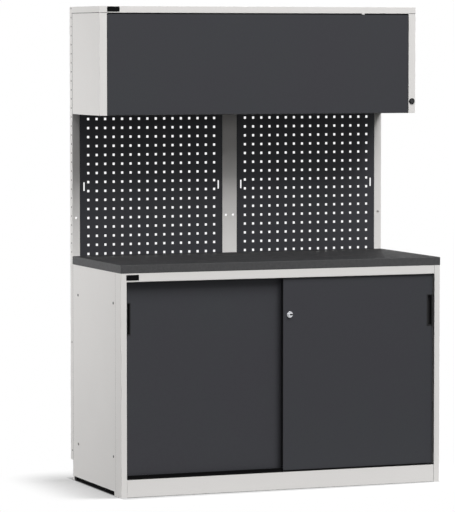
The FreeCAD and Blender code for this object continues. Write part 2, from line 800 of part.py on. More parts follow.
def perforated_panels():
    """Square-hole panels with folded edges, one in each bay between the uprights."""
    body = new_body("panel_right", "panel_start", "back", "base_height")
    skin = sketch_on(body, "XZ")
    rectangle(skin, 0, 0, "panel_width", "panel_height")
    pad(body, skin, "panel_sheet")
    walls = sketch_on(body, "XZ", "panel_sheet")
    rectangle(walls, 0, 0, "panel_width", "panel_height")
    rectangle(walls, "panel_sheet", "panel_sheet", "panel_width - panel_sheet", "panel_height - panel_sheet")
    pad(body, walls, "panel_fold - panel_sheet")
    slots = sketch_on(body, "XZ")
    beside = "first_hole_across - hole_pitch / 2"
    for middle in (beside, f"panel_width - ({beside})"):
        rectangle(slots, f"{middle} - panel_slot_width / 2", "panel_height / 2 - panel_slot_height / 2",
                  f"{middle} + panel_slot_width / 2", "panel_height / 2 + panel_slot_height / 2")
    pocket(body, slots, "panel_sheet")
    hole = sketch_on(body, "XZ")
    rectangle(hole, "first_hole_across - hole_side / 2", "first_hole_up - hole_side / 2",
              "first_hole_across + hole_side / 2", "first_hole_up + hole_side / 2")
    hole_cut = pocket(body, hole, "panel_sheet")
    grid = repeat(body, hole_cut, "X", "hole_span_across", "hole_columns")
    grid.Direction2 = (axis_of(body, "Z"), [""])
    bind(grid, Length2="hole_span_up", Occurrences2="hole_rows")
    keep(body, "panel_right")
    keep(mirrored("panel_left", body), "panel_left")


# Upper cabinet

def upper_sides():
    """Side sheets with a folded front post and a rear flange; hinge pin holes and the lock's hole."""
    inside = "-upper_opening_half"
    post_rear = "upper_front + upper_return"
    points = [("-half_width", "upper_front"), (inside, "upper_front"), (inside, post_rear),
              (f"{inside} - case_sheet", post_rear), (f"{inside} - case_sheet", "upper_front + case_sheet"),
              ("-side_inside", "upper_front + case_sheet"), ("-side_inside", "back_inside"),
              ("-flange_end", "back_inside"), ("-flange_end", "back"), ("-half_width", "back")]
    tall = "cap_level - upper_level"
    side = profile("upper_side_left", "XY", points, "upper_level", tall, [points[0], points[1]])
    pin_hole = sketch_on(side, "YZ", f"{inside} - case_sheet")
    circle(pin_hole, "hinge_y", "hinge_z", "hinge_pin")
    pocket(side, pin_hole, "case_sheet")
    keep(side, "upper_side_left")
    lock_hole = cube("cam_lock_hole", "cam_x", "upper_front", "cam_z", "cam_barrel", "case_sheet")
    keep(without("upper_side_right", mirrored("upper_side_blank", side), lock_hole), "upper_side_right")


def upper_top():
    """Cap folded down all round, with a keeper tab over the lift-up door."""
    body = new_body("upper_top", "-half_width", "upper_front", "cap_level")
    rim = sketch_on(body, "XY")
    rectangle(rim, 0, 0, "overall_width", "upper_depth")
    rectangle(rim, "case_sheet", "case_sheet", "overall_width - case_sheet", "upper_depth - case_sheet")
    pad(body, rim, "cap_height - case_sheet")
    skin = sketch_on(body, "XY", "cap_height - case_sheet")
    rectangle(skin, 0, 0, "overall_width", "upper_depth")
    pad(body, skin, "case_sheet")
    tab = sketch_on(body, "XZ")
    middle = "half_width + tab_place"
    rectangle(tab, f"{middle} - tab_width / 2", "-tab_drop", f"{middle} + tab_width / 2", 0)
    pad(body, tab, "case_sheet")
    edges = ease_edges(body, "Fillet", lambda box: near(box.ZMin, "cap_height"))
    bind(edges, Radius="cap_round")
    keep(body, "upper_top")


def upper_bottom():
    """Bottom tray, folded up at the front and the back."""
    high, over = "upper_level + tray_fold", "upper_level + case_sheet"
    points = [("tray_front", "upper_level"), ("back_inside", "upper_level"), ("back_inside", high),
              ("back_inside - case_sheet", high), ("back_inside - case_sheet", over),
              ("tray_front + case_sheet", over), ("tray_front + case_sheet", high), ("tray_front", high)]
    keep(profile("upper_bottom", "YZ", points, "-side_inside", "2 * side_inside"), "upper_bottom")


def upper_back():
    keep(block("upper_back", "-flange_end", "back_inside", "upper_level", "2 * flange_end", "case_sheet",
               "cap_level - upper_level"), "upper_back")


def flap_door():
    """Lift-up door, with holes in its ends that turn on the pins."""
    door = pan("flap_door", "-flap_half", "flap_face", "2 * flap_half", "flap_bottom", "flap_top",
               "flap_bottom", "flap_depth", "flap_lip", "door_sheet")
    holes = sketch_on(door, "YZ")
    circle(holes, "hinge_setback", "hinge_z", "hinge_pin + 2 * turning_clearance")
    pocket(door, holes, "2 * flap_half")
    keep(door, "flap_door")


def hinge_pins():
    """Pins through the posts into the door's ends."""
    pin = rod("pin_right", "X", "flap_half - hinge_reach", "hinge_y", "hinge_z", "hinge_pin",
              "hinge_reach + flap_side_gap + hinge_tail")
    keep(group("flap_hinge_pins", [pin, mirrored("pin_left", pin)]), "flap_hinge_pins")


def flap_buffers():
    """Rubber pads on the tray's front fold, where the closed door rests."""
    thick = "tray_front - flap_rear - buffer_clearance"
    pads = []
    for name, x in (("left", "-flap_buffer_place - flap_buffer_width"), ("right", "flap_buffer_place")):
        pads.append(block(f"flap_buffer_{name}", x, f"tray_front - ({thick})",
                          "upper_level + tray_fold - flap_buffer_height", "flap_buffer_width", thick,
                          "flap_buffer_height"))
    keep(group("flap_buffers", pads), "flap_buffers")


def stays():
    """Slotted bars that turn on the door and slide over fixed posts."""
    bar = new_body("stay_bar_right")
    slope = FreeCAD.Rotation(DIRECTIONS["X"], number("stay_slope"))
    bar.Placement = FreeCAD.Placement(FreeCAD.Vector(), slope)
    place(bar, "stay_inside", "stud_y", "stud_z")
    bar.setExpression("Placement.Rotation.Angle", bound("stay_slope"))
    plate = sketch_on(bar, "YZ")
    rectangle(plate, 0, "-stay_width / 2", "stay_long + stay_width", "stay_width / 2")
    pad(bar, plate, "stay_thickness")
    round_end = sketch_on(bar, "YZ")
    circle(round_end, 0, 0, "stay_width")
    pad(bar, round_end, "stay_thickness")
    eye = sketch_on(bar, "YZ")
    circle(eye, 0, 0, "stay_slot_width")
    pocket(bar, eye, "stay_thickness")
    slot = sketch_on(bar, "YZ")
    half = "(stay_slot_width / 2)"
    rectangle(slot, f"stay_short - {half}", f"-{half}", f"stay_long + {half}", half)
    pocket(bar, slot, "stay_thickness")
    keep(bar, "stay_bar_right")
    keep(mirrored("stay_bar_left", bar), "stay_bar_left")

    washer_end = "stay_outside + turning_clearance"
    head_start = "stay_inside - turning_clearance"
    post = [hex_bar("stay_post_body", washer_end, "stay_post_y", "stay_post_z", "stay_head",
                    f"side_inside - ({washer_end})"),
            rod("stay_post_neck", "X", head_start, "stay_post_y", "stay_post_z", "stay_pin",
                f"{washer_end} - ({head_start})"),
            hex_bar("stay_post_head", f"{head_start} - stay_washer", "stay_post_y", "stay_post_z",
                    "stay_head", "stay_washer")]
    right = joined("stay_post_right", post)
    keep(group("stay_posts", [right, mirrored("stay_post_left", right)]), "stay_posts")

    ear_face = f"{head_start} - stay_ear"
    ear_half = "stay_ear_width / 2"
    ear = block("stay_ear", ear_face, "flap_rear", f"stud_z - {ear_half}", "stay_ear",
                f"stud_y + {ear_half} - (flap_rear)", "stay_ear_width")
    foot = block("stay_foot", ear_face, "flap_rear", f"stud_z - {ear_half}", f"flap_half - ({ear_face})",
                 "stay_ear", "stay_ear_width")
    stud = rod("stay_stud", "X", head_start, "stud_y", "stud_z", "stay_pin", f"{washer_end} - ({head_start})")
    cap = hex_bar("stay_stud_cap", washer_end, "stud_y", "stud_z", "stay_head", "stay_washer")
    right = joined("stay_bracket_right", [ear, foot, stud, cap])
    keep(group("stay_brackets", [right, mirrored("stay_bracket_left", right)]), "stay_brackets")


def cam_lock():
    """Cylinder lock in the right post; its cam turns behind the lift-up door's lip."""
    bezel_face = "upper_front - cam_bezel_proud"
    bezel = rod("cam_lock_bezel", "Y", "cam_x", bezel_face, "cam_z", "cam_bezel", "cam_bezel_proud")
    barrel = cube("cam_lock_barrel", "cam_x", "upper_front", "cam_z", "cam_barrel",
                  "tray_front - (upper_front)")
    bore = rod("cam_lock_bore", "Y", "cam_x", bezel_face, "cam_z", "cam_plug + 2 * turning_clearance",
               f"tray_front - ({bezel_face})")
    keep(without("cam_lock_body", joined("cam_lock_shell", [bezel, barrel]), bore), "cam_lock_body")

    nose = f"{bezel_face} - cam_plug_proud"
    plug = rod("cam_plug_rod", "Y", "cam_x", nose, "cam_z", "cam_plug", f"cam_front - ({nose})")
    key_slot = block("cam_key_slot", "cam_x - key_slot_width / 2", nose, "cam_z - key_slot_length / 2",
                     "key_slot_width", "key_slot_depth", "key_slot_length")
    keep(without("cam_lock_plug", plug, key_slot), "cam_lock_plug")
    cam = block("cam_lock_cam", "cam_x - cam_width / 2", "cam_front", "cam_z - cam_width / 2", "cam_width",
                "cam_thickness", "cam_length + cam_width / 2")
    keep(cam, "cam_lock_cam")


for build in (base_posts, base_sides, base_back, base_bottom, base_plinth, base_rails, door_tracks,
              door_buffers, shelf, worktop, left_door, right_door, push_lock, uprights, perforated_panels,
              upper_sides, upper_top, upper_bottom, upper_back, flap_door, hinge_pins, flap_buffers, stays,
              cam_lock):
    build()
doc.recompute()

for item in doc.Objects:
    if "Invalid" in item.State or "Error" in item.State:
        raise RuntimeError(f"{item.Name} failed: {item.State}")
for item in PARTS:
    if item.Shape.isNull() or not item.Shape.isValid() or not item.Shape.Solids:
        raise RuntimeError(f"{item.Label} has no valid solid")

os.makedirs("parts", exist_ok=True)
for item in PARTS:
    item.Shape.exportStep(f"parts/{item.Label}.step")
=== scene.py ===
"""Workbench cabinet: finishes, fasteners, plates, seams, seals and trim, then floor, light and camera."""
import json
import math
import bmesh
import bpy
from mathutils import Matrix, Vector


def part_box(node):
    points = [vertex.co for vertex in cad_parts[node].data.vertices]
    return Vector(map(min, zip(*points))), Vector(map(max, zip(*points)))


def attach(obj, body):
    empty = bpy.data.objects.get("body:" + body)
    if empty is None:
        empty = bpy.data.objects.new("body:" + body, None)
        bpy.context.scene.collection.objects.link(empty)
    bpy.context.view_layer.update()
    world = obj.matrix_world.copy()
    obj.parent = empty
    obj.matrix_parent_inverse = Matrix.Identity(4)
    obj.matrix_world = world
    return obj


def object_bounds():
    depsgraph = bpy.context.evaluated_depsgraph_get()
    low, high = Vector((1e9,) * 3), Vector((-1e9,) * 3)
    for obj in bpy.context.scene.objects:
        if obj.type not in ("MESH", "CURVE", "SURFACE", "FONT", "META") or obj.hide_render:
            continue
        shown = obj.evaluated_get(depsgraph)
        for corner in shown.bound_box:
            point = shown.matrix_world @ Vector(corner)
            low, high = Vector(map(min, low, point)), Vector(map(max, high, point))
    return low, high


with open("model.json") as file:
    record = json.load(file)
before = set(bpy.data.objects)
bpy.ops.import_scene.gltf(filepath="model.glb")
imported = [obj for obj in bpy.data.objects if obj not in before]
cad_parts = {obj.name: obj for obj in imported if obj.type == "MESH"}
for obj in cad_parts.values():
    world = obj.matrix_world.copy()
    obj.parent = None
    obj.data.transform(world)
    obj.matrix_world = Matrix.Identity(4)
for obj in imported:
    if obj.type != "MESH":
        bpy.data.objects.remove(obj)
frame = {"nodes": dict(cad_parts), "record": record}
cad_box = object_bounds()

scene = bpy.context.scene
scene.view_settings.view_transform = "Standard"


def linear(red, green, blue):
    """An 8-bit screen colour as linear values with alpha, by the sRGB curve."""
    values = []
    for channel in (red, green, blue):
        share = channel / 255
        values.append(share / 12.92 if share <= 0.04045 else ((share + 0.055) / 1.055) ** 2.4)
    return (*values, 1.0)


def shaded(colour, factor):
    """A colour made darker or lighter by a factor."""
    return (*[channel * factor for channel in colour[:3]], 1.0)


def grey(level):
    """A linear grey with alpha."""
    return (level, level, level, 1)


# Node helpers

# Noise keeps close to its middle, so the helpers stretch what lies between these limits
NOISE_LIMITS = (0.3, 0.7)
TONE_LIMITS = (0.32, 0.68)

# The colours' places among the sockets of a mix node
FIRST_COLOUR, SECOND_COLOUR, MIXED_COLOUR = 6, 7, 2


def add(tree, kind, **values):
    """A node with its sockets or properties set by name."""
    node = tree.nodes.new(kind)
    for name, value in values.items():
        socket = node.inputs.get(name.replace("_", " ").title())
        if socket is not None:
            socket.default_value = value
        else:
            setattr(node, name, value)
    return node


def link(tree, source, output, target, socket):
    tree.links.new(source.outputs[output], target.inputs[socket])


def noise(tree, place, scale, detail=3.0, roughness=0.55):
    node = add(tree, "ShaderNodeTexNoise", scale=scale, detail=detail, roughness=roughness)
    link(tree, place, 0, node, "Vector")
    return node


def spread(tree, source, low, high):
    """The source's middle values stretched to run from low to high."""
    start, end = NOISE_LIMITS
    node = add(tree, "ShaderNodeMapRange", from_min=start, from_max=end, to_min=low, to_max=high)
    link(tree, source, 0, node, "Value")
    return node


def two_tone(tree, source, dark, light):
    """Two colours, dark where the source is low and light where it is high."""
    node = add(tree, "ShaderNodeValToRGB")
    for element, position, colour in zip(node.color_ramp.elements, TONE_LIMITS, (dark, light)):
        element.position = position
        element.color = colour
    link(tree, source, 0, node, "Fac")
    return node


def blended(tree, factor, first, second):
    """A colour between two others; the factor is a number or a node."""
    node = add(tree, "ShaderNodeMix", data_type="RGBA")
    if isinstance(factor, float):
        node.inputs[0].default_value = factor
    else:
        link(tree, factor, 0, node, 0)
    tree.links.new(colour_of(first), node.inputs[FIRST_COLOUR])
    tree.links.new(colour_of(second), node.inputs[SECOND_COLOUR])
    return node


def colour_of(node):
    return node.outputs[MIXED_COLOUR] if node.type == "MIX" else node.outputs[0]


def vector_math(tree, operation, source, output=0, operand=None):
    """A step of vector arithmetic on a node's output, with a fixed second operand where it needs one."""
    node = add(tree, "ShaderNodeVectorMath", operation=operation)
    link(tree, source, output, node, 0)
    if operand is not None:
        node.inputs[1].default_value = operand
    return node


def mixed(tree, factor, first, second):
    """The first shader where the factor is 0, and the second where it is 1."""
    node = add(tree, "ShaderNodeMixShader")
    for socket, source in enumerate((factor, first, second)):
        link(tree, source, 0, node, socket)
    return node


# Finishes

# Scales of the specks and of the uneven gloss, against the scale of the patches
SPECKS_TO_PATCH, GLOSS_TO_PATCH = 45, 7
SPECK_SHARE = 0.5
FINE_DETAIL = 2.0
RELIEF = 0.0004


def surface(name, colour, variation, patch, gloss, grain, depth, metallic=0.0, specular=0.5,
            stretch=(1, 1, 1), tint=None):
    """A finish with patches of slightly different tone, fine specks, uneven gloss and a grain in relief.

    patch and grain are scales of noise, gloss is a range of roughness, depth is the strength of the relief,
    and tint is the colour of the lighter patches where they have their own.
    """
    material = bpy.data.materials.new(name)
    material.use_nodes = True
    tree = material.node_tree
    shader = tree.nodes["Principled BSDF"]
    shader.inputs["Metallic"].default_value = metallic
    shader.inputs["Specular IOR Level"].default_value = specular
    coordinates = add(tree, "ShaderNodeTexCoord")
    place = add(tree, "ShaderNodeMapping", scale=stretch)
    link(tree, coordinates, "Object", place, "Vector")
    dark, light = shaded(colour, 1 - variation), shaded(tint or colour, 1 + variation)
    patches = two_tone(tree, noise(tree, place, patch), dark, light)
    fine = noise(tree, place, patch * SPECKS_TO_PATCH, FINE_DETAIL)
    specks = two_tone(tree, fine, shaded(dark, 1 - variation), shaded(light, 1 + variation))
    tones = blended(tree, SPECK_SHARE, patches, specks)
    tree.links.new(colour_of(tones), shader.inputs["Base Color"])
    uneven = noise(tree, place, patch * GLOSS_TO_PATCH)
    link(tree, spread(tree, uneven, *gloss), 0, shader, "Roughness")
    relief = add(tree, "ShaderNodeBump", strength=depth, distance=RELIEF)
    link(tree, noise(tree, place, grain, FINE_DETAIL), 0, relief, "Height")
    link(tree, relief, 0, shader, "Normal")
    return material


FINISHES = {
    "light_paint": dict(colour=linear(221, 219, 217), variation=0.014, patch=5, gloss=(0.42, 0.54),
                        grain=800, depth=0.06, specular=0.05),
    "dark_paint": dict(colour=linear(52, 51, 56), tint=linear(51, 53, 56), variation=0.025, patch=2.5,
                       gloss=(0.49, 0.55), grain=1100, depth=0.14, specular=0.2),
    "black_steel": dict(colour=linear(10, 10, 11), variation=0.08, patch=12, gloss=(0.5, 0.65),
                        grain=900, depth=0.1, specular=0.04),
    "zinc_steel": dict(colour=linear(196, 198, 202), variation=0.08, patch=40, gloss=(0.28, 0.45),
                       grain=500, depth=0.1, metallic=1.0, stretch=(1, 6, 6)),
    "nylon": dict(colour=linear(228, 226, 218), variation=0.03, patch=30, gloss=(0.45, 0.6),
                  grain=700, depth=0.05),
    "black_plastic": dict(colour=linear(26, 26, 27), variation=0.1, patch=25, gloss=(0.45, 0.6),
                          grain=1500, depth=0.2, specular=0.12),
    "rubber": dict(colour=linear(16, 16, 16), variation=0.12, patch=60, gloss=(0.75, 0.9),
                   grain=900, depth=0.2, specular=0.03),
    "chrome": dict(colour=linear(206, 207, 210), variation=0.04, patch=60, gloss=(0.16, 0.28),
                   grain=300, depth=0.04, metallic=1.0),
}
MATERIALS = {name: surface(name, **finish) for name, finish in FINISHES.items()}


def faces_along(tree, normals, axis):
    """1 on faces that look along an axis, by the normals that a node gives."""
    nearly_along = 0.8
    parts = add(tree, "ShaderNodeSeparateXYZ")
    link(tree, normals, "Vector" if normals.type == "VECT_MATH" else "Normal", parts, 0)
    along = add(tree, "ShaderNodeMath", operation="GREATER_THAN")
    along.inputs[1].default_value = nearly_along
    link(tree, parts, axis, along, 0)
    return along


def laminate():
    """Worktop board: a speckled dark top, with painted sheen and light by which way each face looks: the
    top kept dark, the edges paler all round and palest at the ends.
    """
    fleck_scale, fleck_share, band_scale = 650, 0.4, 90
    material = surface("worktop_board", linear(40, 40, 41), variation=0.06, patch=4, gloss=(0.6, 0.72),
                       grain=1300, depth=0.16, specular=0.045)
    tree = material.node_tree
    shader = tree.nodes["Principled BSDF"]
    clouds = shader.inputs["Base Color"].links[0].from_node
    place = next(node for node in tree.nodes if node.type == "MAPPING")
    grains = noise(tree, place, fleck_scale, detail=4.0, roughness=0.7)
    flecks = two_tone(tree, grains, linear(32, 32, 33), linear(52, 52, 53))
    top = blended(tree, fleck_share, clouds, flecks)
    # Painted sheen and light: the edges, and the ends palest of all, get lighter tones than the top
    edge_sheen_tones = two_tone(tree, noise(tree, place, band_scale), linear(72, 72, 73), linear(79, 79, 80))
    end_sheen_tones = two_tone(tree, noise(tree, place, band_scale), linear(87, 87, 88), linear(95, 95, 96))
    facing = add(tree, "ShaderNodeNewGeometry")
    either_way = vector_math(tree, "ABSOLUTE", facing, "Normal")
    edges = blended(tree, faces_along(tree, either_way, "X"), edge_sheen_tones, end_sheen_tones)
    whole = blended(tree, faces_along(tree, facing, "Z"), edges, top)
    tree.links.new(colour_of(whole), shader.inputs["Base Color"])
    return material


MATERIALS["worktop_board"] = laminate()
grip_shell = surface("grip_shell", linear(38, 38, 39), variation=0.08, patch=25, gloss=(0.5, 0.62),
                     grain=1500, depth=0.2, specular=0.12)
lock_core = surface("lock_core", linear(58, 58, 59), variation=0.08, patch=60, gloss=(0.3, 0.42),
                    grain=900, depth=0.1, specular=0.3)

for row in frame["record"]["subparts"]:
    node = frame["nodes"][row["node"]]
    node.data.materials.clear()
    node.data.materials.append(MATERIALS[row["material_slot"]])
frame["nodes"]["cam_lock_plug"].data.materials[0] = lock_core
for name in ("left_grip", "right_grip"):
    frame["nodes"][name].data.materials[0] = grip_shell


# Folded and cut edges catch a thin line of light

WELD_DISTANCE = 1e-5
SHARP_ANGLE = math.radians(50)
EASED = {
    "worktop": 0.0008, "left_door": 0.0005, "right_door": 0.0005, "flap_door": 0.0005,
    "upright_left": 0.0007, "upright_centre": 0.0007, "upright_right": 0.0007,
    "base_top_rail": 0.0004, "base_plinth": 0.0004, "upper_top": 0.0004,
    "left_grip": 0.0004, "right_grip": 0.0004, "push_lock_body": 0.0005, "cam_lock_body": 0.0006,
}


def ease(node, width):
    """Round a node's sharp edges off to a width."""
    weld = node.modifiers.new("weld", "WELD")
    weld.merge_threshold = WELD_DISTANCE
    bevel = node.modifiers.new("edges", "BEVEL")
    bevel.width = width
    bevel.segments = 2
    bevel.limit_method = "ANGLE"
    bevel.angle_limit = SHARP_ANGLE
    bevel.use_clamp_overlap = True
    bevel.harden_normals = True


for name, width in EASED.items():
    ease(frame["nodes"][name], width)


# How the small pieces are made

AHEAD = (0, -1, 0)
BEHIND = (0, 1, 0)
RING_POINTS = 24


def make_object(mesh, name):
    """A scene object with the faces of a finished mesh."""
    data = bpy.data.meshes.new(name)
    mesh.to_mesh(data)
    mesh.free()
    piece = bpy.data.objects.new(name, data)
    bpy.context.collection.objects.link(piece)
    return piece


def finish_piece(mesh, name, slot, body):
    """A piece with its faces turned outwards and the finish of its slot, which rides on a body."""
    bmesh.ops.recalc_face_normals(mesh, faces=mesh.faces)
    piece = make_object(mesh, name)
    piece.data.materials.append(MATERIALS[slot])
    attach(piece, body)


def stack(mesh, rings):
    """Closes a skin through rings of equal length, with a face over the last ring and the first."""
    loops = [[mesh.verts.new(point) for point in ring_points] for ring_points in rings]
    for low, high in zip(loops, loops[1:]):
        for index in range(len(low)):
            following = (index + 1) % len(low)
            mesh.faces.new((low[index], low[following], high[following], high[index]))
    mesh.faces.new(loops[0])
    mesh.faces.new(loops[-1])


def rounded_outline(width, height, radius, steps=5):
    """Points round a rectangle with rounded corners, each corner in a number of steps."""
    points = []
    for corner, (across, up) in enumerate(((1, 1), (-1, 1), (-1, -1), (1, -1))):
        for step in range(steps + 1):
            angle = math.radians(90 * (corner + step / steps))
            points.append((across * (width / 2 - radius) + radius * math.cos(angle),
                           up * (height / 2 - radius) + radius * math.sin(angle)))
    return points


def axis_matrix(point, axis):
    """Carries what is made along Z to a point, along an axis."""
    turn = Vector((0, 0, 1)).rotation_difference(Vector(axis)).to_matrix().to_4x4()
    return Matrix.Translation(point) @ turn


def ring(matrix, radius, level, hexagonal=False):
    """Points round a matrix's own Z axis, on a circle or on a hexagon with its corners on that circle."""
    sixth = math.radians(60)
    points = []
    for step in range(RING_POINTS):
        angle = math.radians(360 / RING_POINTS * step)
        reach = radius
        if hexagonal:
            reach *= math.cos(sixth / 2) / math.cos(angle % sixth - sixth / 2)
        points.append(matrix @ Vector((reach * math.cos(angle), reach * math.sin(angle), level)))
    return points


def bead(mesh, start, end, outward, width, proud):
    """A strip with a crowned section, from start to end."""
    root, crown, shoulder = -0.0004, 0.4, proud * 0.5
    start, end, outward = Vector(start), Vector(end), Vector(outward)
    across = (end - start).cross(outward).normalized() * width / 2
    profile = ((-1, root), (-1, shoulder), (-crown, proud), (crown, proud), (1, shoulder), (1, root))
    section = [across * share + outward * level for share, level in profile]
    stack(mesh, [[place + offset for offset in section] for place in (start, end)])


# Plates, bolts and rivets

def plate(name, centre, width, height):
    """A bare plate with a raised rim, fixed on a front face."""
    corner, field, rim_level, rim, slope = 0.002, 0.0007, 0.001, 0.001, 0.0003
    x, y, z = centre
    rings = []
    for inset, proud in ((0, 0), (0, field), (slope, rim_level), (rim, rim_level), (rim + slope, field)):
        outline = rounded_outline(width - 2 * inset, height - 2 * inset, corner - inset)
        rings.append([(x + across, y - proud, z + up) for across, up in outline])
    mesh = bmesh.new()
    stack(mesh, rings)
    finish_piece(mesh, name, "black_steel", "bench")


def plates():
    """A plate near the left end of the cap and one near the left end of the base's top rail."""
    width = 0.054
    for name, node, inset, drop, height in (("cap_plate", "upper_top", 0.06, 0.0125, 0.0215),
                                            ("rail_plate", "base_top_rail", 0.025, 0.0215, 0.0225)):
        (left, face, _), (_, _, top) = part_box(node)
        plate(name, (left + inset, face, top - drop), width, height)


def bolt_head(mesh, point, axis, radius, height):
    """A pan head with a hexagonal socket, along axis from the face it sits on."""
    matrix = axis_matrix(point, axis)
    head = ((1, 0), (1, 0.45), (0.9, 0.8), (0.66, 1))
    socket, socket_end = 0.46, 0.4
    rings = [ring(matrix, radius * share, height * level) for share, level in head]
    rings += [ring(matrix, radius * socket, height * level, hexagonal=True) for level in (1, socket_end)]
    stack(mesh, rings)


def bolts(name, points, axis, radius, height):
    """Zinc-plated heads at points of the bench, all along one axis."""
    mesh = bmesh.new()
    for point in points:
        bolt_head(mesh, Vector(point), axis, radius, height)
    finish_piece(mesh, name, "zinc_steel", "bench")


def upright_bolts():
    """Bolts in the uprights' webs: three levels at the base and two at the upper cabinet."""
    sheet, radius, height = 0.002, 0.0065, 0.004
    levels = (0.16, 0.52, 0.86, 1.6, 1.93)
    (left, web, _), (right, _, _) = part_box("upright_centre")
    quarter = (right - left) / 4
    far_left, far_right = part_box("upright_left")[0][0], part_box("upright_right")[1][0]
    columns = (far_left + quarter, -quarter, quarter, far_right - quarter)
    bolts("upright_bolts", [(x, web + sheet, z) for x in columns for z in levels], BEHIND, radius, height)


def clip_rivets():
    """A rivet head on the inner face of each shelf clip."""
    sheet, rise, inset, radius, height = 0.0015, 0.008, 0.012, 0.0035, 0.0015
    low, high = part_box("shelf_clips")
    for name, x, axis in (("left", low[0] + sheet, 1), ("right", high[0] - sheet, -1)):
        points = [(x, y, low[2] + rise) for y in (low[1] + inset, high[1] - inset)]
        bolts(f"clip_rivets_{name}", points, (axis, 0, 0), radius, height)


# Dark strips, backs and inserts: painted shade in joints, gaps, slots and holes, with some real trim

# Height of the slots between the base's sides and the floor
FLOOR_SLOT = 0.016
# How far the dark strips of painted shade stand proud of their faces
SHADE_STRIP_PROUD = 0.00015
front = cad_box[0][1]


def seams():
    """Dark strips along the case's seams, painted shade standing in for the shadow in the joints: under the
    cap, behind the sides and posts and at the rails' right ends.
    """
    cap_seam, upper_seam, base_seam = (0.0019, 0.00015), (0.003, 0.00015), (0.0014, 0.00015)
    post_seam, rail_seam = (0.0008, 0.00005), (0.0009, 0.00005)
    corner, post_margin, rear_setback, rail_margin = 0.0021, 0.0002, 0.0032, 0.002
    (left, cap_front, _), (right, cap_rear, _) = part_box("upper_top")
    (_, _, upper_low), (upper_inner, upper_rear, cap_low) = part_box("upper_side_left")
    post_reach = upper_inner - left - post_margin
    rear = upper_rear - rear_setback
    post_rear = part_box("base_post_left")[1][1]
    base_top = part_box("base_top_rail")[1][2]
    upright_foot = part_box("upright_left")[0][2]
    mesh = bmesh.new()
    for x, side in ((left, -1), (right, 1)):
        outward = (side, 0, 0)
        start, end = x - side * corner, x - side * post_reach
        bead(mesh, (x, cap_front + corner, cap_low), (x, cap_rear, cap_low), outward, *cap_seam)
        bead(mesh, (start, cap_front, cap_low), (end, cap_front, cap_low), AHEAD, *cap_seam)
        bead(mesh, (x, post_rear, FLOOR_SLOT), (x, post_rear, base_top), outward, *post_seam)
        bead(mesh, (x, rear, upper_low), (x, rear, cap_low), outward, *upper_seam)
        bead(mesh, (x, rear, upright_foot), (x, rear, base_top), outward, *base_seam)
    for node in ("base_top_rail", "base_plinth"):
        (_, _, low), (rail_end, _, high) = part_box(node)
        start, end = low + rail_margin, high - rail_margin
        bead(mesh, (rail_end, front, start), (rail_end, front, end), AHEAD, *rail_seam)
    finish_piece(mesh, "case_seam_shade_strips", "rubber", "bench")


def insert(mesh, point, outward, radius, depth):
    """A blind threaded insert with a thin flange on the face of the sheet."""
    seat, flange, crown, mouth, blind_end = 0.00003, 0.0003, 0.0004, -0.0006, -depth * 0.8
    profile = ((0.98, -depth), (0.98, seat), (1.5, seat), (1.46, flange), (0.76, crown), (0.66, mouth),
               (0.62, blind_end))
    matrix = axis_matrix(point, outward)
    stack(mesh, [ring(matrix, radius * share, level) for share, level in profile])


def inserts():
    """Threaded inserts in the holes of the base's sides, black to paint the shade inside the holes."""
    depth = 0.009
    mesh = bmesh.new()
    for mount in frame["record"]["mounts"]:
        if mount["kind"] != "bolt_pattern":
            continue
        sizes = {name: value / 1000 for name, value in mount["dims"].items()}
        for across in (-0.5, 0.5):
            for up in (-0.5, 0.5):
                offset = Vector((0, across * sizes["spacing_x_mm"], up * sizes["spacing_y_mm"]))
                insert(mesh, Vector(mount["pos_m"]) + offset, mount["axis"], sizes["hole_r_mm"], depth)
    finish_piece(mesh, "side_inserts_with_hole_shade", "black_steel", "bench")


def slot_shade_backs():
    """Dark backs set back in the slots down the outer sides of the end uprights, painted shade inside the
    slots.
    """
    first, pitch, count = 0.967, 0.038, 28
    levels = [0.125, 0.585] + [first + pitch * step for step in range(count)]
    slot_line = 0.012
    width, height, radius, setback, thickness, crown = 0.00896, 0.00596, 0.0008, 0.001, 0.0003, 0.0002
    profile = ((0, setback + thickness), (0, setback), (radius / 2, setback - crown))
    mesh = bmesh.new()
    for node, side in (("upright_left", -1), ("upright_right", 1)):
        low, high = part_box(node)
        face, middle = low[0] if side < 0 else high[0], low[1] + slot_line
        for level in levels:
            rings = []
            for inset, sunk in profile:
                outline = rounded_outline(width - 2 * inset, height - 2 * inset, radius - inset, steps=1)
                rings.append([(face - side * sunk, middle + across, level + up) for across, up in outline])
            stack(mesh, rings)
    finish_piece(mesh, "upright_slot_shade_backs", "black_plastic", "bench")


def key_slot_shade():
    """Black cup for the key in the plunger's slot with a flange round it, painted shade inside the slot."""
    (left, nose, low), (right, _, high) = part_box("push_lock_plunger")
    slot_shift = 0.0025
    x, z = (left + right) / 2 + slot_shift, (low + high) / 2
    cup, flange, key = (0.0108, 0.0032), (0.0124, 0.0062), (0.0102, 0.0026)
    tight, wide = 0.0006, 0.0016
    cup_end, key_end, flange_face, lip = 0.0029, 0.0024, -0.0003, -0.0004
    profile = ((cup, tight, cup_end), (cup, tight, 0), (flange, wide, 0), (flange, wide, flange_face),
               (key, tight, lip), (key, tight, key_end))
    rings = []
    for (width, height), radius, sunk in profile:
        outline = rounded_outline(width, height, radius)
        rings.append([(x + across, nose + sunk, z + up) for across, up in outline])
    mesh = bmesh.new()
    stack(mesh, rings)
    finish_piece(mesh, "push_lock_key_slot_shade", "black_steel", "push_lock")


def door_edge():
    """Black strip down the free edge of the right door, painted shade on the edge that faces the gap
    between the doors.
    """
    foot_gap, top_gap, margins, proud = 0.022, 0.002, 0.003, 0.0002
    (left, face, low), (_, rear, high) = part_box("right_door")
    middle, width = (face + rear) / 2, rear - face - margins
    mesh = bmesh.new()
    bead(mesh, (left, middle, low + foot_gap), (left, middle, high - top_gap), (-1, 0, 0), width, proud)
    finish_piece(mesh, "right_door_edge_shade", "black_plastic", "right_door")


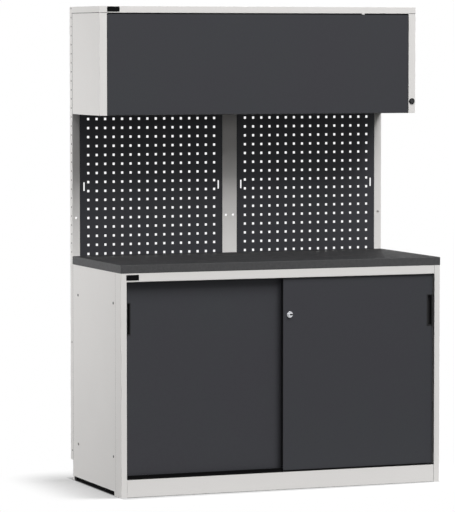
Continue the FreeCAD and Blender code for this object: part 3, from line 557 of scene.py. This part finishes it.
def grip_edges():
    """Black lips from the grips' pockets to the outer edges of their doors: partly the grips' rims, partly
    painted shade of the gaps at the doors' edges.
    """
    width, proud, margin = 0.0058, 0.0022, 0.0002
    for side, end, inward in (("left", 0, 1), ("right", 1, -1)):
        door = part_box(f"{side}_door")
        (_, _, low), (_, _, high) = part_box(f"{side}_grip")
        x, face = door[end][0] + inward * (width / 2 + margin), door[0][1]
        mesh = bmesh.new()
        bead(mesh, (x, face, low), (x, face, high), AHEAD, width, proud)
        finish_piece(mesh, f"{side}_grip_edge", "black_plastic", f"{side}_door")


def edging():
    """Band glued round the worktop's ends and front, from its top's bevel to a little below the board,
    where it is painted shade under the worktop's edge; it takes the worktop's painted edge tones.
    """
    drop, proud, bevel, glue = 0.004, 0.0004, 0.0008, 0.00002
    (left, face, low), (right, rear, high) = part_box("worktop")
    foot, top, eased = low - drop, high - bevel, proud * 0.6
    section = [(glue, foot), (eased, foot), (proud, foot + bevel),
               (proud, top - bevel), (eased, top), (glue, top)]
    stations = ((left, rear, -1, 0), (left, face, -1, -1), (right, face, 1, -1), (right, rear, 1, 0))
    rings = [[(x + side * out, y + ahead * out, z) for out, z in section] for x, y, side, ahead in stations]
    mesh = bmesh.new()
    stack(mesh, rings)
    finish_piece(mesh, "worktop_edging", "worktop_board", "bench")


def opening_shade_strips():
    """Dark strips in the edges of the openings, painted shade of the gaps: along the sill and down the
    posts of both cabinets.
    """
    slim, broad, broad_setback = 0.0012, 0.006, 0.007
    sill_drop, track_gap, flap_gap = 0.0027, 0.0002, 0.003
    plinth_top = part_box("base_plinth")[1][2]
    rail_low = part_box("base_top_rail")[0][2]
    left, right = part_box("base_post_left")[1][0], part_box("base_post_right")[0][0]
    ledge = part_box("door_bottom_track")[0][1] - track_gap
    sill_low, sill_face, sill_top = plinth_top - sill_drop, front - SHADE_STRIP_PROUD, plinth_top + SHADE_STRIP_PROUD
    sill = [(front, sill_low), (sill_face, sill_low + SHADE_STRIP_PROUD), (sill_face, plinth_top),
            (front, sill_top), (ledge, sill_top), (ledge, plinth_top), (front, plinth_top)]
    mesh = bmesh.new()
    stack(mesh, [[(x, y, z) for y, z in sill] for x in (left, right)])
    for x, side in ((left, -1), (right, 1)):
        edge, inside = x + side * slim / 2, front + broad_setback
        bead(mesh, (edge, front, plinth_top), (edge, front, rail_low), AHEAD, slim, SHADE_STRIP_PROUD)
        start, end = (x, inside, plinth_top + broad), (x, inside, rail_low)
        bead(mesh, start, end, (-side, 0, 0), broad, SHADE_STRIP_PROUD)
    post_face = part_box("upper_top")[0][1]
    (_, _, flap_low), (_, _, flap_high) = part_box("flap_door")
    upper_left, upper_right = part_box("upper_side_left")[1][0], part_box("upper_side_right")[0][0]
    for x in (upper_left - slim / 2, upper_right + slim / 2):
        bead(mesh, (x, post_face, flap_low), (x, post_face, flap_high - flap_gap), AHEAD, slim, SHADE_STRIP_PROUD)
    finish_piece(mesh, "opening_shade_strips", "rubber", "bench")


def flap_shade_strip():
    """Dark strip along the top of the lift-up door, painted shade of the gap under the cap."""
    width, margin = 0.0022, 0.002
    (left, face, _), (right, _, top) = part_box("flap_door")
    level = top - width / 2
    mesh = bmesh.new()
    bead(mesh, (left + margin, face, level), (right - margin, face, level), AHEAD, width, SHADE_STRIP_PROUD)
    finish_piece(mesh, "flap_shade_strip", "rubber", "flap")


def floor_shade_strips():
    """Black strips at the floor, painted shade: behind the side slots, as a lip over each slot, and under
    the front.
    """
    height, lift, setback, end_gap, crown = 0.03, 0.0005, 0.012, 0.01, 0.0006
    lip, lip_inset, lip_proud = 0.0018, 0.017, 0.0001
    foot, bend, foot_proud = 0.0018, 0.0005, 0.0002
    level, lip_level = height / 2 + lift, FLOOR_SLOT + lip / 2
    mesh = bmesh.new()
    for node, side in (("base_side_left", -1), ("base_side_right", 1)):
        low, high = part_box(node)
        face, outward = low[0] if side < 0 else high[0], (side, 0, 0)
        x, start, end = face - side * setback, low[1] + end_gap, high[1] - end_gap
        bead(mesh, (x, start, level), (x, end, level), outward, height, crown)
        start, end = low[1] + lip_inset, high[1] - lip_inset
        bead(mesh, (face, start, lip_level), (face, end, lip_level), outward, lip, lip_proud)
    left, right, y = cad_box[0][0] + bend, cad_box[1][0] - bend, front + bend
    bead(mesh, (left, y, foot / 2), (right, y, foot / 2), AHEAD, foot, foot_proud)
    finish_piece(mesh, "floor_shade_strips", "rubber", "bench")


for make_pieces in (plates, upright_bolts, clip_rivets, seams, inserts, slot_shade_backs, key_slot_shade, door_edge,
                    grip_edges, edging, opening_shade_strips, flap_shade_strip, floor_shade_strips):
    make_pieces()


# Floor, light and camera

FLOOR_RADIUS = 40
SHADOW_REACH = 0.3
AMBIENT = 0.12

# Each lamp's name, place, target, width and height, and power
LAMPS = (
    ("key", (5.8, -12.8, 18.3), (0, 0, 1.0), (12, 12), 6200),
    ("front", (-2.5, -9.2, 7.5), (0, 0, 1.0), (4, 4), 220),
    ("low", (-4.5, -9.0, 2.6), (0, 0, 1.2), (4, 2), 64),
    ("left", (-3.9, 0.9, 1.5), (-0.7, 0.2, 1.3), (2, 2), 97),
    ("right", (6.0, 0.9, 0.45), (0.7, 0.1, 1.0), (3, 0.9), 125),
    ("back", (1.5, 8.0, 1.0), (0, 0.3, 1.0), (5, 1.8), 420),
)
FLOOR_LAMP = ("overhead", (3.0, -0.8, 6.5), (0, 0, 0), (3, 3), 900)

# The camera fitted to the photograph: its lens in millimetres, its tilt and turn in radians
CAMERA_LENS = 228.32
CAMERA_PLACE = (-5.08839, -12.68949, 1.84960)
CAMERA_TILT, CAMERA_TURN = 0.065598, -0.372980
CAMERA_REACH = 100


def seen_directly(tree):
    """1 for what the camera sees, also in mirrors and through glass, and 0 for light that only bounces."""
    path = add(tree, "ShaderNodeLightPath")
    mirrored = add(tree, "ShaderNodeMath", operation="MAXIMUM")
    link(tree, path, "Is Glossy Ray", mirrored, 0)
    link(tree, path, "Is Transmission Ray", mirrored, 1)
    seen = add(tree, "ShaderNodeMath", operation="MAXIMUM")
    link(tree, path, "Is Camera Ray", seen, 0)
    link(tree, mirrored, 0, seen, 1)
    return seen


def floor(half_width, half_depth, reach):
    """White floor that keeps the soft shadow close to the footprint and runs out to plain white.

    It has a painted contact shadow, a little darker where the front and the back stand on it.
    """
    near_grey, near_glow, bounce_grey = 0.5, 0.45, 0.18
    contact_width, contact_share, end_narrowing = 0.08, 0.4, 8
    mesh = bmesh.new()
    bmesh.ops.create_circle(mesh, cap_ends=True, segments=96, radius=FLOOR_RADIUS)
    piece = make_object(mesh, "floor")
    material = bpy.data.materials.new("floor")
    material.use_nodes = True
    tree = material.node_tree
    tree.nodes.clear()
    seen = seen_directly(tree)
    geometry = add(tree, "ShaderNodeNewGeometry")
    quadrant = vector_math(tree, "ABSOLUTE", geometry, "Position")
    past_edges = vector_math(tree, "SUBTRACT", quadrant, operand=(half_width, half_depth, 0))
    outside = vector_math(tree, "MAXIMUM", past_edges)
    distance = vector_math(tree, "LENGTH", outside)
    fade = add(tree, "ShaderNodeMapRange", interpolation_type="SMOOTHSTEP", from_max=reach)
    link(tree, distance, "Value", fade, "Value")
    lit = add(tree, "ShaderNodeBsdfDiffuse", color=grey(near_grey))
    glow = add(tree, "ShaderNodeEmission", color=grey(1), strength=near_glow)
    white = add(tree, "ShaderNodeAddShader")
    link(tree, lit, 0, white, 0)
    link(tree, glow, 0, white, 1)
    dim = add(tree, "ShaderNodeBsdfDiffuse", color=grey(bounce_grey))
    near_floor = mixed(tree, seen, dim, white)
    far_floor = add(tree, "ShaderNodeEmission", color=grey(1))
    link(tree, seen, 0, far_floor, "Strength")
    whole_floor = mixed(tree, fade, near_floor, far_floor)
    # Painted contact shadow along the front and the back of the footprint
    narrowed = vector_math(tree, "MULTIPLY", outside, operand=(end_narrowing, 1, 0))
    gap = vector_math(tree, "LENGTH", narrowed)
    contact = add(tree, "ShaderNodeMapRange", interpolation_type="SMOOTHSTEP", from_max=contact_width,
                  to_min=contact_share, to_max=0.0)
    link(tree, gap, "Value", contact, "Value")
    dark = add(tree, "ShaderNodeEmission", color=grey(0))
    output = add(tree, "ShaderNodeOutputMaterial")
    link(tree, mixed(tree, contact, whole_floor, dark), 0, output, "Surface")
    piece.data.materials.append(material)
    return piece


def underside():
    """A black sheet on the floor below the bench, painted shade where no light comes."""
    lift = 0.0004
    low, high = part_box("base_side_left")[0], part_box("base_side_right")[1]
    corners = [(low[0], low[1]), (high[0], low[1]), (high[0], high[1]), (low[0], high[1])]
    mesh = bmesh.new()
    mesh.faces.new([mesh.verts.new((x, y, lift)) for x, y in corners])
    piece = make_object(mesh, "floor_under_shade")
    piece.data.materials.append(MATERIALS["black_steel"])


def surroundings(ambient):
    """White for the camera and for reflections, a weak even light for everything else."""
    world = bpy.data.worlds.new("studio")
    world.use_nodes = True
    scene.world = world
    tree = world.node_tree
    tree.nodes.clear()
    seen = seen_directly(tree)
    strength = add(tree, "ShaderNodeMapRange", to_min=ambient, to_max=1.0)
    link(tree, seen, 0, strength, "Value")
    background = add(tree, "ShaderNodeBackground", color=grey(1))
    link(tree, strength, 0, background, "Strength")
    output = add(tree, "ShaderNodeOutputWorld")
    link(tree, background, 0, output, "Surface")


def lamp(name, place, target, size, power):
    """A rectangular lamp that points at a target."""
    data = bpy.data.lights.new(name, "AREA")
    data.shape = "RECTANGLE"
    data.size, data.size_y = size
    data.energy = power
    piece = bpy.data.objects.new(name, data)
    piece.location = place
    piece.rotation_euler = (Vector(target) - Vector(place)).to_track_quat("-Z", "Y").to_euler()
    bpy.context.collection.objects.link(piece)
    return piece


def light_floor(piece, ground, state):
    """Let a lamp light only the floor, or everything except the floor."""
    receivers = bpy.data.collections.new(f"{piece.name}_receivers")
    receivers.objects.link(ground)
    receivers.collection_objects[0].light_linking.link_state = state
    piece.light_linking.receiver_collection = receivers


ground = floor(cad_box[1][0], cad_box[1][1], SHADOW_REACH)
underside()
surroundings(AMBIENT)
for row in LAMPS:
    light_floor(lamp(*row), ground, "EXCLUDE")
light_floor(lamp(*FLOOR_LAMP), ground, "INCLUDE")

camera = bpy.data.cameras.new("camera")
camera.lens = CAMERA_LENS
camera.clip_end = CAMERA_REACH
viewer = bpy.data.objects.new("camera", camera)
viewer.location = CAMERA_PLACE
viewer.rotation_euler = (math.pi / 2 - CAMERA_TILT, 0, CAMERA_TURN)
bpy.context.collection.objects.link(viewer)
scene.camera = viewer
